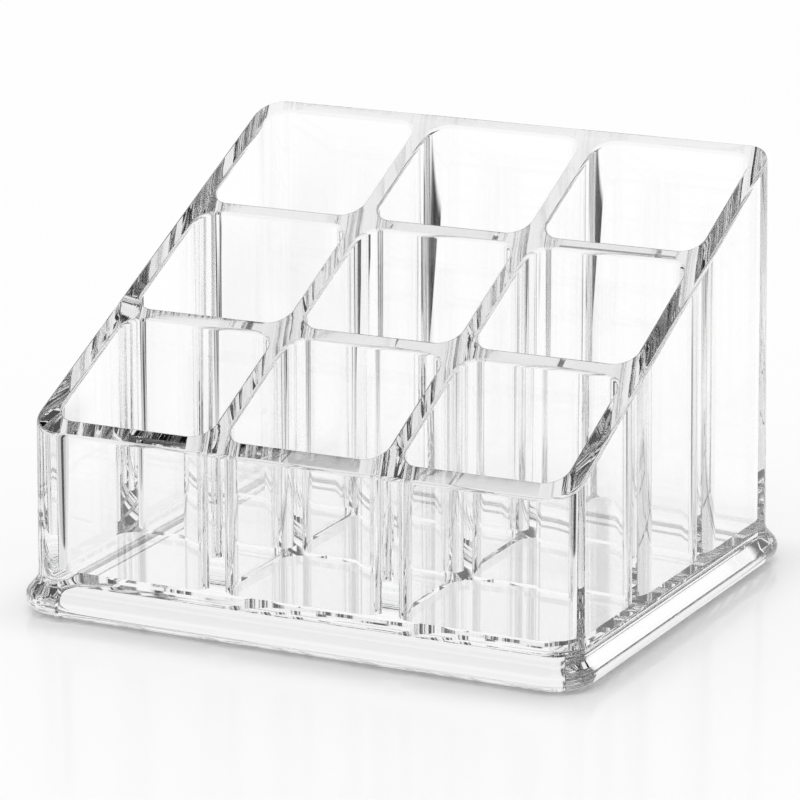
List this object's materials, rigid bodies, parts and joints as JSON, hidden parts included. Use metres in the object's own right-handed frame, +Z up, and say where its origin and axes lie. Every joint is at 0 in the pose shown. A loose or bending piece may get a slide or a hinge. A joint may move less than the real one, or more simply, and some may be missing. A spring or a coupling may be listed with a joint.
{
  "type": "vanity organizer",
  "caption": "Clear free-standing organizer with a grid of open upright compartments under a slanted rim, on a flared base, for lipsticks, brushes and small bottles.",
  "frame": {"origin": "centre of the footprint, on the surface that the organizer stands on", "axes": "+Z up, +X to the right as seen from the low front, +Y towards the tall back"},
  "size_m": [0.1062, 0.0918, 0.0738],
  "materials": {
    "clear_plastic": "polished, water-clear"
  },
  "bodies": {
    "root": {"front_wall": "clear_plastic", "back_wall": "clear_plastic", "left_wall": "clear_plastic", "right_wall": "clear_plastic", "long_divider_left": "clear_plastic", "long_divider_right": "clear_plastic", "cross_panel_front_left": "clear_plastic", "cross_panel_front_middle": "clear_plastic", "cross_panel_front_right": "clear_plastic", "cross_panel_rear_left": "clear_plastic", "cross_panel_rear_middle": "clear_plastic", "cross_panel_rear_right": "clear_plastic", "floor_plate": "clear_plastic", "base_skirt": "clear_plastic"}
  },
  "joints": []
}
